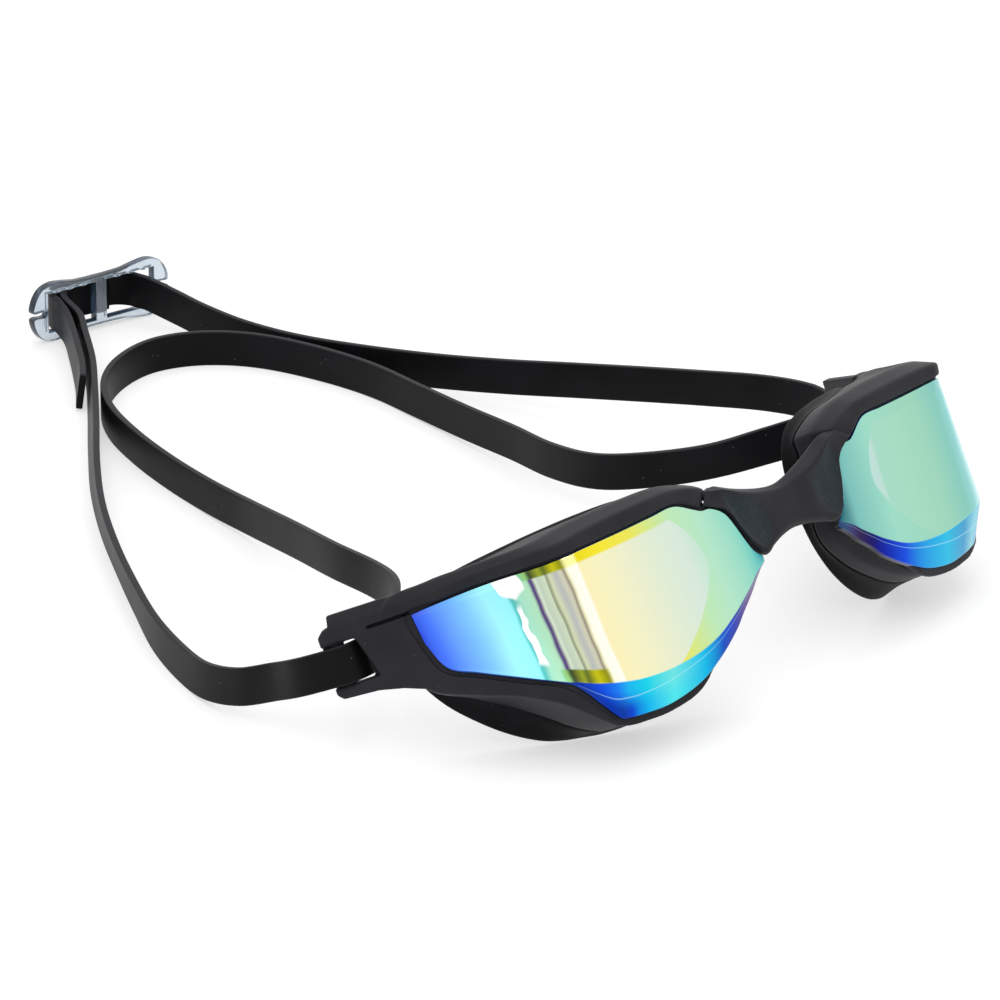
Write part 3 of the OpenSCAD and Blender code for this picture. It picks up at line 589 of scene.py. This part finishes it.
# ---------------------------------------------------------------- pieces
def lens(side):
    rows = [[*r[0], *r[1], *r[2], *r[3]] for r in LENS_ROWS]
    rings, wraps, stations = [], [], []
    samples = curve(rows, 6)
    run = 0
    for k, s in enumerate(samples):
        top, crease, low, inward = (Vector(s[i:i + 3]) for i in (0, 3, 6, 9))
        if k:
            run += 0.5 * ((top - last[0]).length + (crease - last[1]).length)
        last = (top, crease)
        step = inward.normalized() * LENS_T
        corners = [top, crease, low, low + step, crease + step, top + step]
        ring, places = round_ring(corners, [0.35, 0.3, 0.35, 0.3, 0.3, 0.3], [14, 6, 2, 3, 5, 2], 3)
        rings.append([stand(p) for p in ring])
        wraps.append(run)
        stations += places
    values = {"wrap": [w / run for w, r in zip(wraps, rings) for _ in r], "station": stations}
    points, faces = skin(rings)
    name = "left_lens_shell" if side > 0 else "right_lens_shell"
    return new_object(name, points, faces, side < 0, values)


def carve(obj, cuts):
    """Takes closed shapes away from an object."""
    cutter = new_object("cutter", *gather(cuts))
    cut = obj.modifiers.new("cut", "BOOLEAN")
    cut.operation, cut.object, cut.solver = "DIFFERENCE", cutter, "EXACT"
    apply_modifiers(obj)
    bpy.data.objects.remove(cutter)


def temple_plate():
    """The temple's flat plate with its strap slot, the recess behind it and the pocket inside."""
    outline = [
        (31.9, 15.9), (47.6, 16), (48.9, 14.8), (48.9, 4), (47.9, 3), (41.2, 2.6), (36.8, 1.6),
        (31.4, -0.3), (29.4, 2.3), (31.6, 8.2), (32.3, 14),
    ]
    slot = [(40, SLOT_LOW), (42.4, SLOT_HIGH), (47.4, SLOT_HIGH), (47.4, SLOT_LOW)]
    points, faces = plate([outline, slot], -TEMPLE_T, 0, 0.45)
    body = new_object("temple", points, faces)
    recess = [(47, SLOT_LOW), (50, SLOT_LOW), (50, SLOT_HIGH), (47, SLOT_HIGH)]
    pocket = [(POCKET_S, SLOT_LOW), (47.4, SLOT_LOW), (47.4, SLOT_HIGH), (POCKET_S, SLOT_HIGH)]
    carve(body, [
        prism(recess, lambda x, y, end: Vector((x, y, -1.2 + 3 * end))),
        prism(pocket, lambda x, y, end: Vector((x, y, -6.4 + 4.9 * end))),
    ])
    points = [on_side(v.co.x, v.co.z, v.co.y) for v in body.data.vertices]
    faces = [tuple(f.vertices) for f in body.data.polygons]
    bpy.data.objects.remove(body)
    return points, faces


def lens_seat():
    """The frame's bed under the lens edge: a closed strip that follows the lens outline just behind it."""
    temple = Vector((0.45, 0.89, 0))
    last = LENS_ROWS[-1]
    runs = [(r[0], r[3], Vector((0, 0, 1)), -0.2 if k < 2 else 0.9) for k, r in enumerate(LENS_ROWS)]
    for t in (0.3, 0.6, 0.9):
        runs.append(([a + (b - a) * t for a, b in zip(last[0], last[2])], last[3], temple, 1.1))
    down, slant, corner = Vector((0, 0, -1)), Vector((0.68, 0.35, -0.64)), Vector((0.4, 0.78, -0.48))
    for k, r in reversed(list(enumerate(LENS_ROWS))):
        out = corner if k > 15 else slant if 9 < k < 13 else down
        runs.append((r[2], r[3], out, -0.2 if k < 6 else 1.3))
    sections = []
    for place, inward, out, reach in runs:
        p, d = Vector(place), Vector(inward).normalized()
        outer, inner = p + out * reach, p - out * 0.7
        corners = [outer + d * 0.45, outer + d * 2, inner + d * 2, inner + d * 0.45]
        sections.append([v for c in corners for v in c])
    rings = [[Vector(s[i:i + 3]) for i in (0, 3, 6, 9)] for s in curve(sections, 6, loop=True)]
    return skin(rings, loop=True)


def eye_frame(side):
    rows = [[v for p in reversed(r) for v in p] for r in RING_ROWS]
    rings = []
    for s in curve(rows, 5, loop=True):
        corners = [Vector(s[3 * i:3 * i + 3]) for i in range(5)]
        rings.append(round_ring(corners, [0.5, 0.6, 1.3, 0.7, 0.4], [3, 3, 4, 4, 3])[0])
    shoulder = [(0, 15.7), (-0.1, 16.1), (-1.7, 18.1), (-TEMPLE_T, 18), (-TEMPLE_T, 15.7)]
    web = [(39.2, SLOT_LOW - 0.6), (41.5, SLOT_LOW - 0.6), (41.5, SLOT_HIGH + 0.6), (39.2, SLOT_HIGH + 0.6)]
    circle = [
        (POST_S + POST_R * math.cos(a), POST_N + POST_R * math.sin(a))
        for a in (math.tau * k / 32 for k in range(32))
    ]
    parts = [
        skin(rings, loop=True),
        lens_seat(),
        temple_plate(),
        prism(shoulder, lambda n, h, end: on_side(32 + 14.5 * end, n, h)),
        prism(web, lambda s, h, end: on_side(s, end - TEMPLE_T, h)),
        prism(circle, lambda s, n, end: on_side(s, n, SLOT_LOW - 1 + 11.5 * end)),
    ]
    points, faces = gather(parts)
    name = "left_eye_frame" if side > 0 else "right_eye_frame"
    obj = new_object(name, [stand(p) for p in points], faces, side < 0)
    melt = obj.modifiers.new("melt", "REMESH")
    melt.mode, melt.voxel_size, melt.use_smooth_shade = "VOXEL", 0.00025, True
    soften = obj.modifiers.new("soften", "SMOOTH")
    soften.factor, soften.iterations = 0.5, 5
    apply_modifiers(obj)
    slit = [(SLIT[0], 13.9), (SLIT[1], 13.7), (SLIT[1], 14.4), (SLIT[0], 14.6)]
    points, faces = prism(slit, lambda s, h, end: stand(on_side(s, -1.2 + 3 * end, h)))
    carve(obj, [([(side * p.x, p.y, p.z) for p in points], faces)])
    return obj


def gasket(side):
    """The soft lip: from the back of the frame out to the face edge, rounded all along."""
    rows = []
    rims = np.asarray(RIM_ROWS, float)
    rims = (0.5 * rims + 0.25 * np.roll(rims, 1, axis=0) + 0.25 * np.roll(rims, -1, axis=0)).tolist()
    for ring, rim in zip(RING_ROWS, rims):
        outer, inner, face = Vector(ring[3]), Vector(ring[4]), Vector(rim)
        back = Vector((0, 0.1, 0))
        inward = RIM_MID - Vector((face.x, 0, face.z))
        inward.normalize()
        outer, inner = outer + back, inner + back
        mid_out = 0.45 * outer + 0.55 * face + 0.6 * inward - Vector((0, 0.6, 0))
        mid_in = 0.45 * inner + 0.55 * (face + 2.6 * inward)
        tip_in = face + LIP_T * inward + Vector((0, 0.2, 0))
        rows.append([v for p in (inner, mid_in, tip_in, face, mid_out, outer) for v in p])
    rings = []
    for s in curve(rows, 5, loop=True):
        corners = [Vector(s[3 * i:3 * i + 3]) for i in range(6)]
        ring = round_ring(corners, [0.3, 1.6, 0.7, 0.7, 2.2, 0.3], [2, 2, 2, 3, 3, 2])[0]
        rings.append([stand(p) for p in ring])
    points, faces = skin(rings, loop=True)
    name = "left_face_gasket" if side > 0 else "right_face_gasket"
    return new_object(name, points, faces, side < 0)


def end_lip(ring, way):
    """A narrower ring just beyond an end ring, so the seam to the frame shows as a thin dark line."""
    middle = sum(ring, Vector()) / len(ring)
    return [middle + (p - middle) * 0.9 + Vector((way * 1.2 * MM, 0, 0)) for p in ring]


def bridge():
    """The nose bridge, its front facets hollowed a little, with its two snap pegs."""
    half = [[v for p in r for v in p] for r in BRIDGE_ROWS]
    other = [[-v if i % 3 == 0 else v for i, v in enumerate(r)] for r in half[:0:-1]]
    rings, facet = [], []
    for s in curve(other + half, 5):
        corners = [Vector(s[3 * i:3 * i + 3]) for i in range(6)]
        out = abs(corners[0].x)
        soft = 0.3 + 0.7 * max(0, min(1, (16 - out) / 4))
        radii = [soft * r for r in (0.7, 0.9, 0.8, 0.9, 0.8, 0.9)]
        ring, places = round_ring(corners, radii, [10, 2, 2, 4, 2, 2])
        share = max(0, min(1, (out - 6.5) / 3)) * max(0, min(1, (17.5 - out) / 2))
        for p, place in zip(ring, places):
            inside = place if 0.03 < place < 0.97 else 0
            hollow = math.sin(math.pi * inside) ** 0.7 * share if inside else 0
            p.y += 0.55 * hollow
            facet.append(min(1, hollow * 1.6))
        rings.append([stand(p) for p in ring])
    rings = [end_lip(rings[0], -1)] + rings + [end_lip(rings[-1], 1)]
    facet = [0.0] * len(rings[0]) + facet + [0.0] * len(rings[0])
    pegs = []
    for x in (-PEG_X, PEG_X):
        turns = [math.tau * k / 20 for k in range(20)]
        circle = [(PEG_R * math.cos(a), PEG_R * math.sin(a)) for a in turns]
        pegs.append(prism(circle, lambda a, b, end, x=x: stand((x + a, 0.9 + 5.7 * end, PEG_UP + b))))
    points, faces = gather([skin(rings)] + pegs)
    facet += [0.0] * (len(points) - len(facet))
    return new_object("bridge_piece", points, faces, values={"facet": facet})


def strap_route():
    def in_slot(side, q):
        p = stand(on_side(q[0], q[1], BAND_MID)) / MM
        return [side * p.x, p.y, p.z, 1, 0]

    def on_plate(q, z):
        c, s = math.cos(BUCKLE_TURN), math.sin(BUCKLE_TURN)
        return [BUCKLE_AT.x + q[0] * c - q[1] * s, BUCKLE_AT.y + q[0] * s + q[1] * c, z, 0, 0]

    def free(run):
        return [[p[0], p[1], p[2], 0, p[3]] for p in run]

    return (
        [on_plate(q, BUCKLE_AT.z) for q in LACE_FRONT]
        + free(NEAR_RUN[::-1])
        + [[-80.4, 52.5, 13.6, 0.8, 0.1]]
        + [in_slot(-1, q) for q in SLOT_PATH]
        + [[-66.5, 47.8, 16.5, 0.8, -0.2], [-58, 50.5, 16.5, 0.4, -0.4]]
        + free(INNER_RUN)
        + [[62.5, 52.8, 14.9, 0.7, -0.4], [67.6, 49.2, 16, 0.8, -0.2]]
        + [in_slot(1, q) for q in SLOT_PATH[::-1]]
        + [[79.8, 47.8, 16.1, 0.9, -0.3], [81.1, 52, 16, 0.7, -0.3]]
        + free(FAR_RUN)
        + [on_plate(q, BUCKLE_AT.z) for q in LACE_BACK]
        + free(TAIL_RUN)
    )


def strap():
    path = curve(strap_route(), 7)
    lean_up = Vector((0, math.sin(PITCH), math.cos(PITCH)))
    half_w, half_t = BAND_W / 2, BAND_T / 2
    rings, edge = [], []
    for i, q in enumerate(path):
        a, b = path[max(i - 1, 0)], path[min(i + 1, len(path) - 1)]
        along = (Vector(b[:3]) - Vector(a[:3])).normalized()
        flat = Vector((along.y, -along.x, 0)).normalized()
        up = (1 - q[3]) * Vector((0, 0, 1)) + q[3] * lean_up - flat * q[4] / BAND_W
        up = (up - along * up.dot(along)).normalized()
        out = up.cross(along)
        corners = [
            Vector((a * half_w, b * half_t, 0)) for a, b in ((1, 1), (1, -1), (-1, -1), (-1, 1))
        ]
        ring, _ = round_ring(corners, [0.3] * 4, [0, 6, 0, 6])
        rings.append([(Vector(q[:3]) + up * p.x + out * p.y) * MM for p in ring])
        # how far out across the band each point lies; the material paints the edge sheen from this
        edge += [abs(p.x) / half_w for p in ring]
    points, faces = skin(rings)
    return new_object("headband_strap", points, faces, values={"edge": edge})


def buckle():
    """Bow-tie plate with two toothed windows; the lobes at each end stay apart."""
    w, l = 6, 16.5
    end = [
        (5, -w + 0.8), (9, -w + 0.2), (12, -w), (l - 2, -w + 0.9), (l - 0.4, -w + 3), (l, -0.6),
        (l - 3, -0.5), (l - 3, 0.5), (l, 0.6), (l - 0.4, w - 3), (l - 2, w - 0.9), (12, w),
        (9, w - 0.2), (5, w - 0.8),
    ]
    outline = end + [(-x, y) for x, y in reversed(end)]
    high, bar = 3.95, 1.4
    window = [(bar, -high), (12.9, -high), (12.9, high), (11.4, high), (11, high - 0.2), (10.2, high - 0.2)]
    window += [(9.8, high), (8.2, high), (7.8, high - 0.2), (7, high - 0.2), (6.6, high), (5, high)]
    window += [(4.6, high - 0.2), (3.8, high - 0.2), (3.4, high), (bar, high)]
    smooth = [tuple(p) for p in curve(outline, 5, loop=True)]
    outlines = [smooth, window, [(-x, y) for x, y in reversed(window)]]
    points, faces = plate(outlines, -BUCKLE_T / 2, BUCKLE_T / 2, 0.35)
    # 1 on the rounded edges, where the material paints its dark edge shade
    rim = [1.0 if abs(p.z) < BUCKLE_T / 2 - 0.05 else 0.1 for p in points]
    c, s = math.cos(BUCKLE_TURN), math.sin(BUCKLE_TURN)
    placed = [(BUCKLE_AT + Vector((p.x * c + p.z * s, p.x * s - p.z * c, p.y))) * MM for p in points]
    obj = new_object("strap_buckle_plate", placed, faces, values={"rim": rim})
    for face in obj.data.polygons:
        face.use_smooth = True
    obj.data.set_sharp_from_angle(angle=math.radians(40))
    return obj


# ---------------------------------------------------------------- stage
def camera():
    """The viewing place: from the wearer's right front, a little above."""
    toward = Vector((-0.75582, -0.54913, 0.35665))
    right = Vector((0.587785, -0.809017, 0))
    up = Vector((0.28853, 0.20963, 0.93424))
    anchor = Vector((0, 0, EYE_HEIGHT * MM))
    spot = anchor + toward * 2.0
    aim = anchor - right * 0.0549 + up * 0.00702
    back = (spot - aim).normalized()
    across = up.cross(back).normalized()
    turn = Matrix((across, back.cross(across), back)).transposed()
    data = bpy.data.cameras.new("camera")
    data.sensor_width, data.lens = 36, 397.75
    data.clip_start, data.clip_end = 0.1, 20
    obj = bpy.data.objects.new("camera", data)
    obj.matrix_world = Matrix.Translation(spot) @ turn.to_4x4()
    bpy.context.scene.collection.objects.link(obj)
    bpy.context.scene.camera = obj


def area_light(name, spot, aim, size, power):
    data = bpy.data.lights.new(name, "AREA")
    data.shape, data.size, data.size_y, data.energy = "RECTANGLE", size[0], size[1], power
    obj = bpy.data.objects.new(name, data)
    back = (Vector(spot) - Vector(aim)).normalized()
    obj.matrix_world = Matrix.Translation(spot) @ back.to_track_quat("Z", "Y").to_matrix().to_4x4()
    bpy.context.scene.collection.objects.link(obj)


def studio():
    world = bpy.data.worlds.new("studio")
    bpy.context.scene.world = world
    world.use_nodes = True
    world.node_tree.nodes["Background"].inputs["Color"].default_value = (1, 1, 1, 1)
    world.node_tree.nodes["Background"].inputs["Strength"].default_value = 1.0
    bpy.context.scene.view_settings.view_transform = "Standard"
    middle = (0, 0.1, 0)
    area_light("key", (-0.7, -0.5, 1.1), middle, (0.9, 0.9), 4)
    area_light("top", (0.2, 0.3, 1.3), middle, (1.0, 1.0), 4)
    size = 3
    paint = Paint("pale_floor")
    drift = paint.mix(paint.noise(3, 2), (0.42, 0.42, 0.42, 1), (0.45, 0.45, 0.45, 1))
    corners = [(-size, -size, 0), (size, -size, 0), (size, size, 0), (-size, size, 0)]
    floor = new_object("floor", corners, [(0, 1, 2, 3)])
    paint.put(paint.shader.inputs["Emission Color"], (1, 1, 1, 1))
    paint.put(paint.shader.inputs["Emission Strength"], 0.55)
    floor.data.materials.append(paint.finish(Base_Color=drift, Roughness=0.9))


def dress(obj, material, body, node):
    obj.data.materials.clear()
    obj.data.materials.append(material)
    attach(obj, body)
    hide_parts(node)


def goggles():
    plastic = moulded_plastic("frame_plastic")
    rubber = gasket_silicone()
    # one mirror coat, painted with different reflections on the near and far lens
    near_reflection = mirror_coat_and_reflection("near_mirror_painted_reflection", NEAR_COAT_AND_REFLECTION_INSIDE, NEAR_COAT_AND_REFLECTION_OUTSIDE, NEAR_LOWER_COAT_AND_REFLECTION_TOP, NEAR_LOWER_COAT_AND_REFLECTION_BOTTOM, True)
    far_reflection = mirror_coat_and_reflection("far_mirror_painted_reflection", FAR_COAT_AND_REFLECTION_INSIDE, FAR_COAT_AND_REFLECTION_OUTSIDE, FAR_LOWER_COAT_AND_REFLECTION, FAR_LOWER_COAT_AND_REFLECTION, False)
    for side, word, coat in ((1, "left", far_reflection), (-1, "right", near_reflection)):
        dress(eye_frame(side), plastic, "lens_units", word + "_frame")
        dress(lens(side), coat, "lens_units", word + "_lens")
        dress(gasket(side), rubber, "lens_units", word + "_gasket")
    dress(bridge(), moulded_plastic("bridge_plastic", facet=True), "bridge", "nose_bridge")
    dress(strap(), strap_silicone(), "headband", "strap")
    dress(buckle(), clear_plastic(), "buckle", "strap_buckle")


camera()
studio()
goggles()
